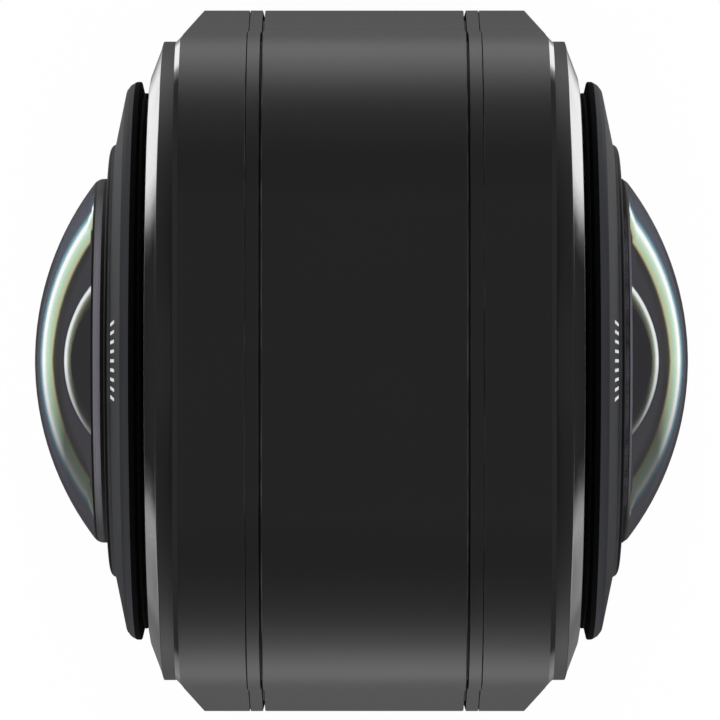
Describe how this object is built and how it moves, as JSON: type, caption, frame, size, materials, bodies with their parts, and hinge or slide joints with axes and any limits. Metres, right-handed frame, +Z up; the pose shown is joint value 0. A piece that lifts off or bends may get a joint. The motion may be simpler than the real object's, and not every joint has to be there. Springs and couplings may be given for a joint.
{
  "type": "360 degree camera",
  "caption": "Tall pocket camera with a domed fisheye lens on both faces of its round-cornered head, a rear touch screen, side buttons, a hinged port door and a tripod thread in the base.",
  "frame": {"origin": "mouth of the tripod thread, in the middle of the base", "axes": "+Z up along the body, -Y out of the front lens, +X towards the side with the buttons"},
  "size_m": [0.0532, 0.0495, 0.1293],
  "materials": {
    "satin_black": "satin moulded plastic",
    "frame_black": "satin moulded plastic",
    "gloss_black": "polished black",
    "bezel_black": "fine matte black coat",
    "barrel_black": "black anodised",
    "rubber_black": "soft matte rubber",
    "lens_glass": "coated optical glass",
    "screen_glass": "black-backed cover glass",
    "screen_panel": "unlit display",
    "sensor_black": "image sensor package",
    "circuit_green": "solder mask",
    "bright_steel": "plain steel",
    "spreader_metal": "milled aluminium",
    "cell_wrap": "wrapped cell",
    "insert_brass": "machined insert"
  },
  "bodies": {
    "camera_body": {"head_frame": "frame_black", "core_frame": "frame_black", "core_front_cover": "satin_black", "core_rear_cover": "satin_black", "battery_case": "satin_black", "battery_lid": "satin_black", "heat_spreader": "spreader_metal", "head_screws": "bright_steel", "core_screws": "bright_steel", "head_connector": "gloss_black", "battery_connector": "gloss_black", "display_window": "screen_glass", "display_panel": "screen_panel", "main_board": "circuit_green", "button_switches": "bright_steel", "port_door_pin": "bright_steel", "port_socket": "bright_steel", "battery_cell": "cell_wrap", "tripod_insert": "insert_brass", "microphones": "bright_steel", "speaker": "barrel_black", "front_head_shell": "satin_black", "rear_head_shell": "satin_black", "front_seal_band": "satin_black", "rear_seal_band": "satin_black", "front_face_plate": "satin_black", "rear_face_plate": "satin_black", "front_bevel_ring": "gloss_black", "rear_bevel_ring": "gloss_black", "front_neck_seal": "rubber_black", "rear_neck_seal": "rubber_black", "front_lens_bezel": "bezel_black", "rear_lens_bezel": "bezel_black", "front_retaining_ring": "bezel_black", "rear_retaining_ring": "bezel_black", "front_dome_lens": "lens_glass", "rear_dome_lens": "lens_glass", "front_second_element": "lens_glass", "rear_second_element": "lens_glass", "front_lens_barrel": "barrel_black", "rear_lens_barrel": "barrel_black", "front_image_sensor": "sensor_black", "rear_image_sensor": "sensor_black", "front_sensor_board": "circuit_green", "rear_sensor_board": "circuit_green"},
    "shutter": {"shutter_button": "bezel_black"},
    "power": {"power_button": "bezel_black"},
    "door": {"port_door": "satin_black", "port_door_plug": "rubber_black"},
    "latch": {"battery_latch": "bezel_black"}
  },
  "joints": [
    {"name": "shutter_press", "type": "slide", "parent": "camera_body", "child": "shutter", "axis": [-1, 0, 0], "range_m": [0, 0.0006], "stiffness_N_per_m": 3000, "springref_m": -0.0002},
    {"name": "power_press", "type": "slide", "parent": "camera_body", "child": "power", "axis": [-1, 0, 0], "range_m": [0, 0.0006], "stiffness_N_per_m": 3000, "springref_m": -0.0002},
    {"name": "door_swing", "type": "hinge", "parent": "camera_body", "child": "door", "pos_m": [-0.0255, 0, 0.042], "axis": [0, -1, 0], "range_deg": [0, 90]},
    {"name": "latch_slide", "type": "slide", "parent": "camera_body", "child": "latch", "axis": [0, 1, 0], "range_m": [0, 0.003]}
  ]
}
